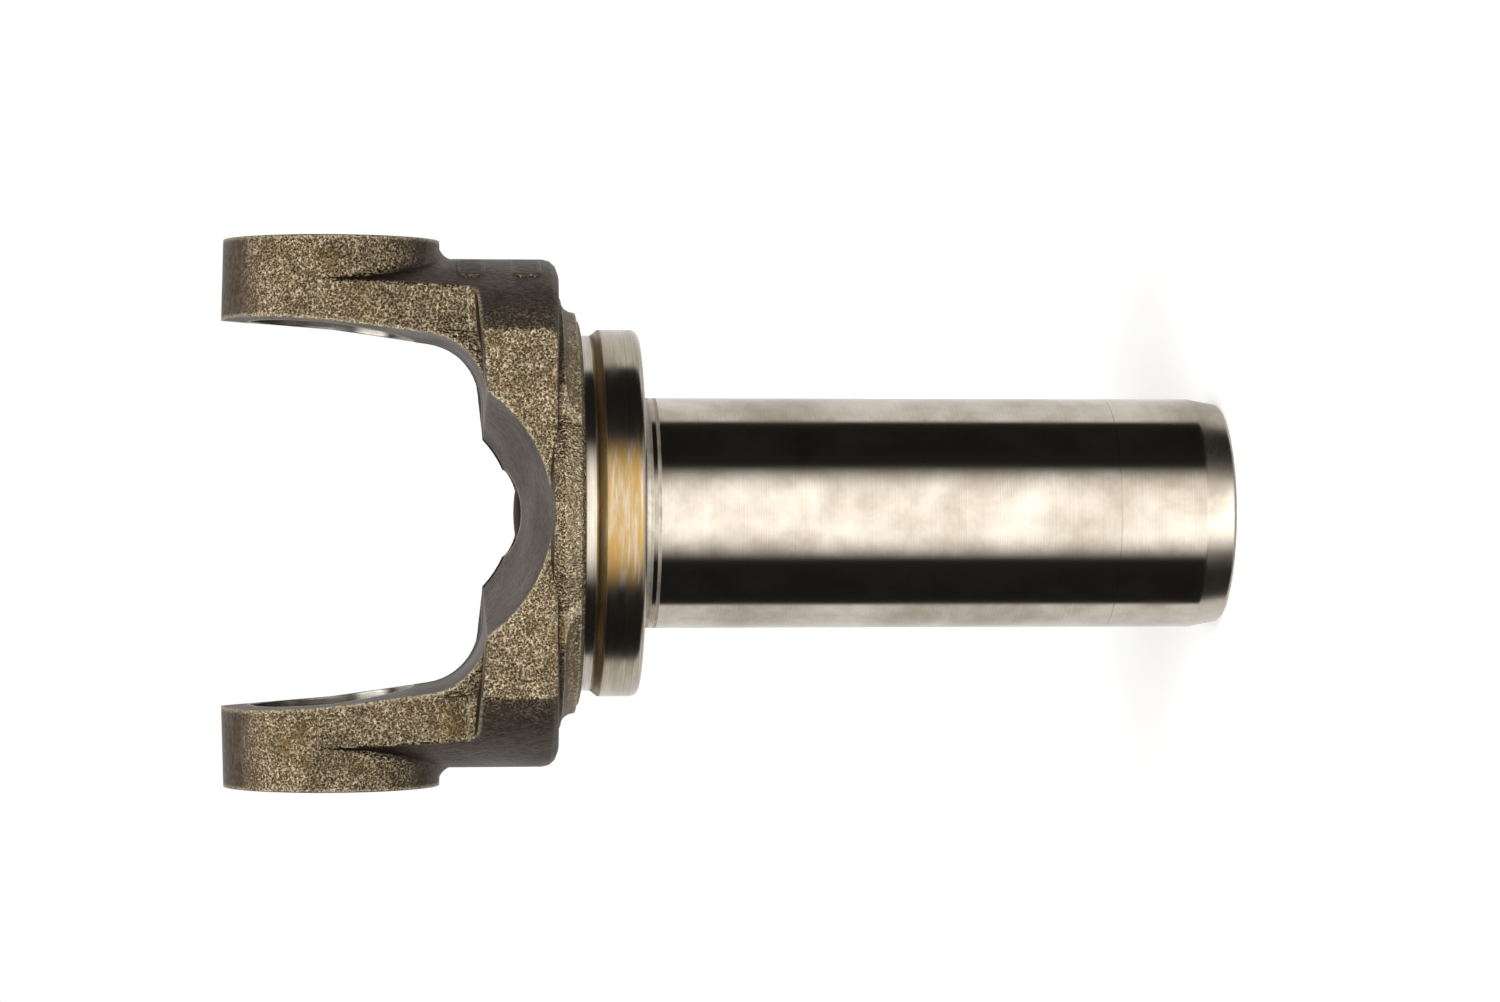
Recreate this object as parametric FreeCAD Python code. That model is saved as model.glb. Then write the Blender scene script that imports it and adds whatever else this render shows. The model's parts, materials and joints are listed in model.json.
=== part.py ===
"""Slip yoke forging for a driveshaft joint, with the small plug that seals its splined socket.

The part stands on the end face of its barrel. The origin is the centre of that face, +Z runs up the
shaft axis to the fork, +X is the axis of the cross bore and the dies close along Y.
All sizes are in millimetres.
"""
import FreeCAD, Part
import math
import os

from FreeCAD import Vector

# Overall layout
BORE_Z = 147.6            # cross bore axis above the barrel end face
EAR_SPAN = 89.6           # over the two machined ear faces
FLOOR_Z = 122.8           # crotch floor, and the base block's top near the shaft axis

# Cross bore, for 27 mm bearing cups held by outside snap rings
CUP_R = 13.5
RING_GROOVE_SPAN = 81.8   # between the inner walls of the two ring grooves
RING_GROOVE_W = 1.6
RING_GROOVE_DEPTH = 0.8
BORE_CHAMFER = 0.6

# Ears and arms
BOSS_R_FACE = 17.7        # ear boss at its machined face
BOSS_R_ROOT = 18.1        # ear boss at the inner side of the ear
ARM_OUTER_R = 41.9        # arms and base block, about the shaft axis
ARM_HALF_BASE = 21.0      # half width of an arm where it meets the block
ARM_FOOT_FILLET = 1.7     # hollow fillet between an arm's sides and the top of the block
EAR_IN_TIP = 31.6         # inner face of an ear from the shaft axis, at its tip
EAR_IN_BORE = 30.1        # the same at the cross bore axis
EAR_IN_DRAFT = 1.05       # what the inner face opens by from the parting plane to the arm side
CROTCH_R = 10.5           # fillet from an ear to the crotch floor
CROTCH_X = 17.5           # where that fillet meets the floor, at the parting plane
BOSS_FILLET = 1.6
BOSS_FILLET_REACH = 80.0  # degrees each way round the boss, from straight down the arm
BOSS_FILLET_END = 0.12    # its size at its ends, as a share of its full size
BOSS_FILLET_STEPS = 5     # sections each way
SHOULDER_X = 28.8         # outer edge of the shoulder beside the crotch, at the floor
SHOULDER_LEDGE = 0.8      # how far it stands proud of the arm side there
SHOULDER_ANGLE = 14.5     # degrees that it turns away from the arm side
SHOULDER_RISE = 14.0      # height of the prism it is cut from
SHOULDER_CLOSE = 0.21     # what it closes in by for each mm up the arm, so that the ledge dies out
SHOULDER_OPEN = 0.09      # what its edge moves outwards by for each mm up

# Base block
BLOCK_HALF_Y = 30.1
BLOCK_BACK_Z = 110.25     # back of the block at the parting plane
BLOCK_DRAFT = 2.2         # degrees, back of the block away from the parting plane
BLOCK_LEAN_R = 36.0       # radius where the back starts to lean towards the fork
BLOCK_LEAN = 7.0          # degrees
BLOCK_CORNER_R = 2.4
BLOCK_TOP_FLAT_X = 18.0   # the top is flat between the arms and rises outwards from here
BLOCK_TOP_SLOPE = 4.6     # degrees
EDGE_R = 0.8              # worn edge of the forging die

# Clearance for the mating yoke, a double cone about an axis along Y
RELIEF_Z = 135.6
RELIEF_R_MID = 17.6
RELIEF_R_SIDE = 23.2

# Round back of the fork
DISC_R = 33.1
DISC_FOOT_R = 32.5
DISC_BACK_Z = 107.0
DISC_CORNER = 1.6
DISC_FILLET = 2.5

# Collar and barrel
STUB_R = 29.4
COLLAR_R = 30.35
COLLAR_TOP_Z = 103.9
COLLAR_LEAD = 1.2         # length of the upper chamfer
COLLAR_ROUND_Z = 98.6     # lower end of the collar's cylinder
COLLAR_FACE_Z = 97.3
COLLAR_FACE_R = 27.2
NECK_R = 1.2
BARREL_R = 19.09
LEAD_LENGTH = 5.0
LEAD_DROP = 0.85
END_BREAK = 0.4

# Splined socket: 27 teeth, 24/48 pitch, 30 degree pressure angle
TEETH = 27
PITCH_R = 25.4 / 24.0 * TEETH / 2.0
PRESSURE_ANGLE = 30.0
MINOR_R = 13.75
MAJOR_R = 15.0
MOUTH_R = 15.6
MOUTH_DEPTH = 7.0
MOUTH_CHAMFER = 1.2
SPLINE_END_Z = 95.0
SOCKET_END_Z = 108.0
SOCKET_RELIEF_R = 15.9

# Plug in the crotch
VENT_R = 6.35
PLUG_R = 7.15
PLUG_SEAT_Z = 115.4
PLUG_SHEET = 1.2
PLUG_CROWN = 1.1

UP = Vector(0, 0, 1)
ORIGIN = Vector(0, 0, 0)


def face_of(edges):
    """A face inside a closed run of edges."""
    return Part.Face(Part.Wire(edges))


def polygon(points):
    """A face inside straight lines through the points."""
    return Part.Face(Part.makePolygon([Vector(*p) for p in points] + [Vector(*points[0])]))


def turned(points, centre=ORIGIN, axis=UP):
    """A full turn of a polygon of (radius, height) pairs about the shaft axis."""
    return polygon([(r, 0, z) for r, z in points]).revolve(centre, axis, 360)


def mirrored(shape, normal):
    """The shape and its mirror image in the plane through the origin."""
    return [shape, shape.mirror(ORIGIN, normal)]


def arc(start, middle, end):
    """An arc edge through three (x, y, z) points."""
    return Part.Arc(Vector(*start), Vector(*middle), Vector(*end)).toShape()


def line(start, end):
    """A straight edge between two (x, y, z) points."""
    return Part.LineSegment(Vector(*start), Vector(*end)).toShape()


def corner(centre, radius, start_deg, end_deg, steps=3):
    """Facets round a lathe corner in the XZ plane, about an (r, z) centre, with their ends on the true arc."""
    def at(step):
        angle = math.radians(start_deg + (end_deg - start_deg) * step / steps)
        return (centre[0] + radius * math.cos(angle), 0, centre[1] + radius * math.sin(angle))
    return [line(at(step), at(step + 1)) for step in range(steps)]


def joined(edges):
    """The edges with straight lines added where one ends away from the next one's start."""
    run = []
    for edge, after in zip(edges, edges[1:] + edges[:1]):
        run.append(edge)
        gap_from, gap_to = edge.lastVertex(True).Point, after.firstVertex(True).Point
        if gap_from.distanceToPoint(gap_to) > 1e-6:
            run.append(Part.LineSegment(gap_from, gap_to).toShape())
    return run


def barrel_and_collar():
    """Everything turned on the lathe: barrel, neck, collar, stub and the round back of the fork."""
    neck_z = COLLAR_FACE_Z - NECK_R
    round_r = COLLAR_ROUND_Z - COLLAR_FACE_Z
    top_r = DISC_R - DISC_FILLET
    edges = [
        line((0, 0, 0), (BARREL_R - LEAD_DROP - END_BREAK, 0, 0)),
        line((BARREL_R - LEAD_DROP, 0, END_BREAK), (BARREL_R, 0, LEAD_LENGTH)),
        line((BARREL_R, 0, LEAD_LENGTH), (BARREL_R, 0, neck_z)),
        *corner((BARREL_R + NECK_R, neck_z), NECK_R, 180, 90),
        line((BARREL_R + NECK_R, 0, COLLAR_FACE_Z), (COLLAR_FACE_R, 0, COLLAR_FACE_Z)),
        *corner((COLLAR_R - round_r, COLLAR_ROUND_Z), round_r, -70, 0),
        line((COLLAR_R, 0, COLLAR_TOP_Z), (STUB_R, 0, COLLAR_TOP_Z + COLLAR_LEAD)),
        line((STUB_R, 0, DISC_BACK_Z), (DISC_FOOT_R - DISC_CORNER, 0, DISC_BACK_Z)),
        *corner((DISC_FOOT_R - DISC_CORNER, DISC_BACK_Z + DISC_CORNER), DISC_CORNER, -90, 0),
        line((DISC_FOOT_R, 0, DISC_BACK_Z + DISC_CORNER), (DISC_R, 0, BLOCK_BACK_Z)),
        *corner((top_r, BLOCK_BACK_Z), DISC_FILLET, 0, 78),
        line((BLOCK_HALF_Y - 2.0, 0, BLOCK_BACK_Z + DISC_FILLET), (0, 0, BLOCK_BACK_Z + DISC_FILLET)),
    ]
    return face_of(joined(edges)).revolve(ORIGIN, UP, 360)


def block_top(x):
    """The height of the block's top, this far from the shaft axis along X."""
    return FLOOR_Z + (x - BLOCK_TOP_FLAT_X) * math.tan(math.radians(BLOCK_TOP_SLOPE))


def block_body():
    """The base block: a disc that leans at its back, cut to two flats and drafted from the parting plane."""
    lean = math.tan(math.radians(BLOCK_LEAN))
    corner_r = ARM_OUTER_R - BLOCK_CORNER_R
    corner_z = BLOCK_BACK_Z + (corner_r - BLOCK_LEAN_R) * lean + BLOCK_CORNER_R
    top_z = block_top(ARM_OUTER_R)
    edges = [
        line((0, 0, BLOCK_BACK_Z - 1.0), (BLOCK_LEAN_R, 0, BLOCK_BACK_Z - 1.0)),
        line((BLOCK_LEAN_R, 0, BLOCK_BACK_Z), (corner_r, 0, corner_z - BLOCK_CORNER_R)),
        *corner((corner_r, corner_z), BLOCK_CORNER_R, -90 + BLOCK_LEAN, 0),
        line((ARM_OUTER_R, 0, top_z), (0, 0, top_z)),
    ]
    disc = face_of(joined(edges)).revolve(ORIGIN, UP, 360)
    rise = BLOCK_HALF_Y * math.tan(math.radians(BLOCK_DRAFT))
    section = polygon([
        (-ARM_OUTER_R, -BLOCK_HALF_Y, BLOCK_BACK_Z + rise),
        (-ARM_OUTER_R, 0, BLOCK_BACK_Z),
        (-ARM_OUTER_R, BLOCK_HALF_Y, BLOCK_BACK_Z + rise),
        (-ARM_OUTER_R, BLOCK_HALF_Y, top_z),
        (-ARM_OUTER_R, -BLOCK_HALF_Y, top_z),
    ])
    top = polygon([
        (-ARM_OUTER_R, -ARM_OUTER_R, BLOCK_BACK_Z - 2.0), (-ARM_OUTER_R, -ARM_OUTER_R, top_z),
        (-BLOCK_TOP_FLAT_X, -ARM_OUTER_R, FLOOR_Z), (BLOCK_TOP_FLAT_X, -ARM_OUTER_R, FLOOR_Z),
        (ARM_OUTER_R, -ARM_OUTER_R, top_z), (ARM_OUTER_R, -ARM_OUTER_R, BLOCK_BACK_Z - 2.0),
    ])
    block = disc.common(section.extrude(Vector(2 * ARM_OUTER_R, 0, 0)))
    block = block.common(top.extrude(Vector(0, 2 * ARM_OUTER_R, 0))).removeSplitter()
    rounded = block.makeFillet(EDGE_R, [e for e in block.Edges if on_flank_rim(e)])
    half = rounded.common(Part.makeBox(ARM_OUTER_R + 1.0, 2 * ARM_OUTER_R, 2 * BLOCK_BACK_Z,
                                       Vector(0, -ARM_OUTER_R, 0)))
    return half.fuse(half.mirror(ORIGIN, Vector(1, 0, 0)))


def on_flank_rim(edge):
    """True for the edges round the block's two flanks."""
    box = edge.BoundBox
    return min(abs(box.YMin), abs(box.YMax)) > BLOCK_HALF_Y - 0.01


def back_fillet():
    """The hollow fillet between the round back of the fork and the back of the block."""
    reach = DISC_R + DISC_FILLET
    edges = [
        *corner((reach, BLOCK_BACK_Z - DISC_FILLET), DISC_FILLET, 90, 180, steps=4),
        line((DISC_R, 0, BLOCK_BACK_Z - DISC_FILLET), (DISC_R - 2.0, 0, BLOCK_BACK_Z - DISC_FILLET)),
        line((DISC_R - 2.0, 0, BLOCK_BACK_Z + 2.0), (reach, 0, BLOCK_BACK_Z + 2.0)),
    ]
    ring = face_of(joined(edges)).revolve(ORIGIN, UP, 360)
    half_y = BLOCK_HALF_Y - 1.2 * EDGE_R
    width = Part.makeBox(2 * ARM_OUTER_R, 2 * half_y, 20, Vector(-ARM_OUTER_R, -half_y, BLOCK_BACK_Z - 10))
    return ring.common(width)


def arm_side_angle():
    """The angle of an arm's sides, tangent to the boss and ARM_HALF_BASE out at the floor."""
    drop = BORE_Z - FLOOR_Z
    reach = math.hypot(ARM_HALF_BASE, drop)
    return math.atan2(ARM_HALF_BASE, drop) - math.asin(BOSS_R_ROOT / reach)


def arm():
    """One arm below its boss, flared towards the block, out to the turned cylinder of the block."""
    flare = arm_side_angle()
    top_y, top_z = BOSS_R_ROOT * math.cos(flare), BORE_Z + BOSS_R_ROOT * math.sin(flare)
    foot_z = FLOOR_Z - 5.0
    foot_y = top_y + (top_z - foot_z) * math.tan(flare)
    section = polygon([(0, -top_y, top_z), (0, -foot_y, foot_z), (0, foot_y, foot_z), (0, top_y, top_z)])
    wide = section.extrude(Vector(ARM_OUTER_R + 2.0, 0, 0))
    rounded = wide.common(Part.makeCylinder(ARM_OUTER_R, 80, Vector(0, 0, foot_z)))
    outer_edges = [e for e in rounded.Edges if isinstance(e.Curve, Part.Ellipse)]
    return rounded.makeFillet(EDGE_R, outer_edges)


def boss_radius(x):
    """The tapered boss's radius at a distance from the shaft axis."""
    slope = (BOSS_R_ROOT - BOSS_R_FACE) / (EAR_SPAN / 2.0 - EAR_IN_BORE)
    return BOSS_R_FACE + slope * (EAR_SPAN / 2.0 - x)


def arm_surface(radius, angle):
    """How far the arm's outer cylinder is from the YZ plane, at this radius and angle about the bore."""
    return math.sqrt(ARM_OUTER_R ** 2 - (radius * math.sin(angle)) ** 2)


def boss_fillet_section(angle, size):
    """One radial section of the fillet between boss and arm, at an angle from straight down the arm."""
    def at(radius, x):
        return (x, radius * math.sin(angle), BORE_Z - radius * math.cos(angle))
    foot_r = boss_radius(ARM_OUTER_R) + size
    foot_x = arm_surface(foot_r, angle)
    head_x = arm_surface(foot_r - size, angle) + size
    head_r = boss_radius(head_x)
    sag = size * (math.sqrt(2.0) - 1.0) / 2.0
    middle = at((head_r + foot_r) / 2.0 - sag / 2.0, (head_x + foot_x) / 2.0 - sag / 2.0)
    root_r, root_x = head_r - 1.0, foot_x - 1.2
    return Part.Wire([
        line(at(root_r, head_x), at(head_r, head_x)),
        arc(at(head_r, head_x), middle, at(foot_r, foot_x)),
        line(at(foot_r, foot_x), at(foot_r, root_x)),
        line(at(foot_r, root_x), at(root_r, root_x)),
        line(at(root_r, root_x), at(root_r, head_x)),
    ])


def boss_fillet():
    """The hollow fillet round the lower side of a boss, dying out where the boss meets the arm's sides."""
    sections = []
    for step in range(-BOSS_FILLET_STEPS, BOSS_FILLET_STEPS + 1):
        share = step / BOSS_FILLET_STEPS
        size = BOSS_FILLET * max(BOSS_FILLET_END, math.sqrt(math.cos(share * math.pi / 2.0)))
        sections.append(boss_fillet_section(math.radians(BOSS_FILLET_REACH * share), size))
    return Part.makeLoft(sections, True, False)


def ear_boss():
    """The round boss of one ear, with a slight taper towards its machined face."""
    return Part.makeCone(boss_radius(CROTCH_X), BOSS_R_FACE, EAR_SPAN / 2.0 - CROTCH_X,
                         Vector(CROTCH_X, 0, BORE_Z), Vector(1, 0, 0))


def shoulders():
    """The two wedges beside the crotch that lead from one arm's sides towards the block's flanks."""
    start_y = ARM_HALF_BASE + SHOULDER_LEDGE
    root_y = ARM_HALF_BASE / 2.0
    run = SHOULDER_X - CROTCH_X
    out_y = start_y + run * math.tan(math.radians(SHOULDER_ANGLE))
    wedge = polygon([
        (SHOULDER_X, start_y, FLOOR_Z), (CROTCH_X, out_y, FLOOR_Z),
        (CROTCH_X, root_y, FLOOR_Z), (SHOULDER_X, root_y, FLOOR_Z),
    ]).extrude(Vector(SHOULDER_OPEN, -SHOULDER_CLOSE, 1.0) * SHOULDER_RISE)
    return mirrored(wedge, Vector(0, 1, 0))


def arm_foot_fillets():
    """The hollow fillets in the corners between one arm's sides and the top of the block."""
    size = ARM_FOOT_FILLET
    foot_y, foot_z = ARM_HALF_BASE, block_top(BLOCK_TOP_FLAT_X)
    up_y = foot_y - size * math.tan(arm_side_angle())
    section = polygon([
        (BLOCK_TOP_FLAT_X, up_y, foot_z + size),
        (BLOCK_TOP_FLAT_X, foot_y + 0.3 * size, foot_z + 0.25 * size),
        (BLOCK_TOP_FLAT_X, foot_y + size, foot_z - 0.1),
        (BLOCK_TOP_FLAT_X, foot_y - size, foot_z - size),
    ])
    run = ARM_OUTER_R - BLOCK_TOP_FLAT_X
    prism = section.extrude(Vector(run, 0, block_top(ARM_OUTER_R) - foot_z))
    within = Part.makeCylinder(ARM_OUTER_R, 8 * size, Vector(0, 0, FLOOR_Z - 2 * size))
    return mirrored(prism.common(within), Vector(0, 1, 0))


def gap_wire(y, opening):
    """The outline between the ears in one plane: down an inner face, round the crotch and up again."""
    centre_x, centre_z = CROTCH_X + opening, FLOOR_Z + CROTCH_R
    lean = math.atan((EAR_IN_TIP - EAR_IN_BORE) / BOSS_R_ROOT)
    face_x = EAR_IN_BORE + opening
    # The inner face is the tangent to the crotch fillet that passes through face_x at the bore axis.
    reach = math.hypot(face_x - centre_x, BORE_Z - centre_z)
    towards = math.atan2(BORE_Z - centre_z, face_x - centre_x)
    touch = towards - math.acos(CROTCH_R / reach)
    touch_x = centre_x + CROTCH_R * math.cos(touch)
    touch_z = centre_z + CROTCH_R * math.sin(touch)
    half = (touch - math.pi / 2) / 2.0
    middle = (centre_x + CROTCH_R * math.cos(half), centre_z + CROTCH_R * math.sin(half))
    top_z = BORE_Z + 30.0
    top_x = face_x + (top_z - BORE_Z) * math.tan(lean)

    def side(sign):
        return [
            ((sign * top_x, y, top_z), (sign * face_x, y, BORE_Z)),
            ((sign * face_x, y, BORE_Z), (sign * touch_x, y, touch_z)),
            ((sign * touch_x, y, touch_z), (sign * middle[0], y, middle[1]), (sign * centre_x, y, FLOOR_Z)),
        ]
    right = [line(*pts) if len(pts) == 2 else arc(*pts) for pts in side(1)]
    left = [line(*pts[::-1]) if len(pts) == 2 else arc(*pts[::-1]) for pts in side(-1)[::-1]]
    floor = line((centre_x, y, FLOOR_Z), (-centre_x, y, FLOOR_Z))
    lid = line((-top_x, y, top_z), (top_x, y, top_z))
    return Part.Wire(right + [floor] + left + [lid])


def ear_gap():
    """The space between the ears, opening with draft on both sides of the parting plane."""
    reach = ARM_HALF_BASE + 14.0
    opening = EAR_IN_DRAFT * reach / ARM_HALF_BASE
    half = Part.makeLoft([gap_wire(0, 0), gap_wire(reach, opening)], True, True)
    return half.fuse(half.mirror(ORIGIN, Vector(0, 1, 0)))


def yoke_relief():
    """Clearance for the mating yoke's ears as the joint bends: a channel along Y, drafted both ways."""
    reach = BLOCK_HALF_Y + 4.0
    grown = RELIEF_R_MID + (RELIEF_R_SIDE - RELIEF_R_MID) * reach / BLOCK_HALF_Y
    half = Part.makeCone(RELIEF_R_MID, grown, reach, Vector(0, 0, RELIEF_Z), Vector(0, 1, 0))
    return half.fuse(half.mirror(ORIGIN, Vector(0, 1, 0)))


def cross_bore():
    """The bearing cup bore through both ears, with its snap ring grooves and chamfers."""
    half_span = EAR_SPAN / 2.0
    axis = Vector(1, 0, 0)
    cuts = [Part.makeCylinder(CUP_R, EAR_SPAN + 2.0, Vector(-half_span - 1.0, 0, BORE_Z), axis)]
    groove = Part.makeCylinder(CUP_R + RING_GROOVE_DEPTH, RING_GROOVE_W,
                               Vector(RING_GROOVE_SPAN / 2.0, 0, BORE_Z), axis)
    chamfer = Part.makeCone(CUP_R, CUP_R + BORE_CHAMFER, BORE_CHAMFER,
                            Vector(half_span - BORE_CHAMFER, 0, BORE_Z), axis)
    return cuts + mirrored(groove, axis) + mirrored(chamfer, axis)


def involute_turn(radius, base_r):
    """The angle an involute of this base circle has turned through at a radius."""
    pressure = math.acos(base_r / radius)
    return math.tan(pressure) - pressure


def spline_wire(z):
    """One closed outline of the internal spline, tooth by tooth, with involute flanks."""
    base_r = PITCH_R * math.cos(math.radians(PRESSURE_ANGLE))
    half_space = math.pi / (2.0 * TEETH)
    pitch_turn = involute_turn(PITCH_R, base_r)

    def point(radius, angle):
        return (radius * math.cos(angle), radius * math.sin(angle), z)

    def flank(radius):
        return half_space - (involute_turn(radius, base_r) - pitch_turn)

    edges = []
    mean_r = (MINOR_R + MAJOR_R) / 2.0
    for tooth in range(TEETH):
        middle = 2.0 * math.pi * tooth / TEETH
        beyond = middle + 2.0 * math.pi / TEETH
        inner, mean, outer = flank(MINOR_R), flank(mean_r), flank(MAJOR_R)
        edges.append(arc(point(MINOR_R, middle - inner), point(mean_r, middle - mean),
                         point(MAJOR_R, middle - outer)))
        edges.append(line(point(MAJOR_R, middle - outer), point(MAJOR_R, middle + outer)))
        edges.append(arc(point(MAJOR_R, middle + outer), point(mean_r, middle + mean),
                         point(MINOR_R, middle + inner)))
        edges.append(line(point(MINOR_R, middle + inner), point(MINOR_R, beyond - inner)))
    return Part.Wire(edges)


def splined_socket():
    """The socket for the output shaft: a plain mouth, the spline, and a blind relief above it."""
    teeth = Part.Face(spline_wire(MOUTH_DEPTH - 1.0)).extrude(Vector(0, 0, SPLINE_END_Z - MOUTH_DEPTH + 2.0))
    mouth = turned([(0, -1.0), (MOUTH_R + MOUTH_CHAMFER, -1.0), (MOUTH_R + MOUTH_CHAMFER, 0),
                    (MOUTH_R, MOUTH_CHAMFER), (MOUTH_R, MOUTH_DEPTH),
                    (MINOR_R, MOUTH_DEPTH + MOUTH_R - MINOR_R), (0, MOUTH_DEPTH + MOUTH_R - MINOR_R)])
    relief = turned([(0, SPLINE_END_Z), (SOCKET_RELIEF_R, SPLINE_END_Z), (SOCKET_RELIEF_R, SOCKET_END_Z - 2.0),
                     (SOCKET_RELIEF_R - 2.0, SOCKET_END_Z), (0, SOCKET_END_Z)])
    return [teeth, mouth, relief]


def plug_seat():
    """The stepped hole in the web that the plug is set into."""
    vent = Part.makeCylinder(VENT_R, PLUG_SEAT_Z - SOCKET_END_Z + 2.0, Vector(0, 0, SOCKET_END_Z - 1.0))
    seat = Part.makeCylinder(PLUG_R, 8.0, Vector(0, 0, PLUG_SEAT_Z))
    return [vent, seat]


def forged_yoke():
    """The whole forging, machined."""
    body = block_body().fuse([barrel_and_collar(), back_fillet()])
    for side in (ORIGIN, Vector(1, 0, 0)):
        ear = arm().fuse([ear_boss(), boss_fillet()] + shoulders() + arm_foot_fillets())
        if side.Length:
            ear = ear.mirror(ORIGIN, side)
        body = body.fuse(ear)
    body = body.removeSplitter()
    body = body.cut([ear_gap(), yoke_relief()])
    body = body.cut(cross_bore() + splined_socket() + plug_seat())
    return body.removeSplitter()


def dome(rim_r, crown, rim_z):
    """The ball whose cap is crown high over a rim of this radius and height."""
    ball_r = (rim_r ** 2 + crown ** 2) / (2.0 * crown)
    return Part.makeSphere(ball_r, Vector(0, 0, rim_z + crown - ball_r), Vector(1, 0, 0))


def expansion_plug():
    """A dished steel disc, crown up, resting on its ledge in the crotch."""
    top_z = PLUG_SEAT_Z + PLUG_SHEET
    blank = Part.makeCylinder(PLUG_R, PLUG_SHEET + PLUG_CROWN + 1.0, Vector(0, 0, PLUG_SEAT_Z))
    return blank.common(dome(PLUG_R, PLUG_CROWN, top_z)).cut(dome(VENT_R - 0.4, PLUG_CROWN, PLUG_SEAT_Z))


def main():
    """Builds each piece and writes it to its own file."""
    os.makedirs("parts", exist_ok=True)
    for name, shape in (("forged_yoke", forged_yoke()), ("expansion_plug", expansion_plug())):
        solid = shape.Solids[0]
        print(name, "valid", solid.isValid(), "solids", len(shape.Solids), "volume", round(solid.Volume))
        solid.exportStep(os.path.join("parts", name + ".step"))


main()
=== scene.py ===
"""Looks of a driveshaft slip yoke: a shot blasted forging, turned at its collar and ground on its barrel.

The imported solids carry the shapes. This script dresses them, adds the small raised marks of the forging
die, and sets up the stage, the light and the camera. Every length is in metres unless its name says mm.
"""
import json
import logging
import math
from dataclasses import dataclass
from enum import Enum
from typing import Any

import bmesh
import bpy
from mathutils import Matrix, Vector

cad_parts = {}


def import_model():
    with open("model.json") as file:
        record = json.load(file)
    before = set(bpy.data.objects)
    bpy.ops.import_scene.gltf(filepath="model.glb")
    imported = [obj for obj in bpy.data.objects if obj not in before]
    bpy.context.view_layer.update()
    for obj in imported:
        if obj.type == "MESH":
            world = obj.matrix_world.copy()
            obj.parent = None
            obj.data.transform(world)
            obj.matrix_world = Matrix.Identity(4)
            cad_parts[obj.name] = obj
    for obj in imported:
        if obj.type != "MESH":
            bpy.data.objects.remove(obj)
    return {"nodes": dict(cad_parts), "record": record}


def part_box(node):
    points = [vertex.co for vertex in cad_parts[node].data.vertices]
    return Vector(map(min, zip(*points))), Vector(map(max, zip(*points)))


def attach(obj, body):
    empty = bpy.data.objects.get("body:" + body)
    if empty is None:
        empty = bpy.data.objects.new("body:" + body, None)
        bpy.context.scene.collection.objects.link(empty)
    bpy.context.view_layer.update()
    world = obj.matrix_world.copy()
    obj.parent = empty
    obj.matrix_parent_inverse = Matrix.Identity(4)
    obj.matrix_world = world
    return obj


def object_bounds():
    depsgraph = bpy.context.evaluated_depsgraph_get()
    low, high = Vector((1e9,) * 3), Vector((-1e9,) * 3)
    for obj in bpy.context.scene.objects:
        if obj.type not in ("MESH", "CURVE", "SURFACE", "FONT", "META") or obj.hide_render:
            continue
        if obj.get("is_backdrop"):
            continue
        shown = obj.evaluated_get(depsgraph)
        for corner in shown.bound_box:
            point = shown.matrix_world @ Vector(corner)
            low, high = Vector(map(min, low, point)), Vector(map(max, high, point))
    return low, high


LOG = logging.getLogger("slip_yoke")
MM = 0.001

Socket = bpy.types.NodeSocket
Tree = bpy.types.NodeTree
Span = tuple[float, ...]       # where a ramp starts and ends, then its numbers there unless they are 0 and 1

# Blender's names for the nodes that come up most, and the settings of the ramps and of the colour mixes.
BUMP = "ShaderNodeBump"
MATH = "ShaderNodeMath"
MIX = "ShaderNodeMix"
NOISE = "ShaderNodeTexNoise"
OCCLUSION = "ShaderNodeAmbientOcclusion"
RAMP = "ShaderNodeMapRange"
SHADER = "ShaderNodeBsdfPrincipled"
VECTOR = "ShaderNodeVectorMath"
SMOOTH = {"interpolation_type": "SMOOTHSTEP"}
COLOUR = {"data_type": "RGBA"}
DRAWN_OUT = (0.12, 0.12, 1.0)  # squeezes a pattern's place across the shaft
WHITE = "#ffffff"


# ------------------------------------------------------------------------------------------ small tools


def linear(code: str) -> tuple[float, float, float, float]:
    """Turns an sRGB hex colour into the linear colour that a shader takes.

    Args:
        code: Six hex digits, with or without a leading hash.

    Returns:
        Red, green, blue and an alpha of 1, all linear.
    """
    digits = code.lstrip("#")
    parts = [int(digits[at:at + 2], 16) / 255.0 for at in (0, 2, 4)]
    values = [c / 12.92 if c <= 0.04045 else ((c + 0.055) / 1.055) ** 2.4 for c in parts]
    return (values[0], values[1], values[2], 1.0)


def add(tree: Tree, kind: str, inputs: Any = (), output: Any = 0, **settings: Any) -> Socket:
    """Adds one node, with its settings, values and links.

    Args:
        tree: The node tree that gets the node.
        kind: Blender's name for the kind of node.
        inputs: Sockets to link or values to set, in order or by input name or number. None leaves one alone.
        output: Name or number of the output to hand back.
        **settings: The node's own properties.

    Returns:
        The output socket.
    """
    node = tree.nodes.new(kind)
    for name, value in settings.items():
        setattr(node, name, value)
    pairs = inputs.items() if isinstance(inputs, dict) else enumerate(inputs)
    for key, value in pairs:
        if isinstance(value, Socket):
            tree.links.new(value, node.inputs[key])
        elif value is not None:
            node.inputs[key].default_value = value
    return node.outputs[output]


def band(tree: Tree, value: Socket, low: float, high: float, soft: float) -> Socket:
    """One between two limits and nothing outside them.

    Args:
        tree: The node tree.
        value: The value that is tested.
        low: Lower limit.
        high: Upper limit.
        soft: Width over which each limit fades.

    Returns:
        The mask.
    """
    rise = add(tree, RAMP, [value, low - soft / 2, low + soft / 2], **SMOOTH)
    fall = add(tree, RAMP, [value, high - soft / 2, high + soft / 2, 1.0, 0.0], **SMOOTH)
    return add(tree, MATH, [rise, fall], operation="MULTIPLY")


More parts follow.
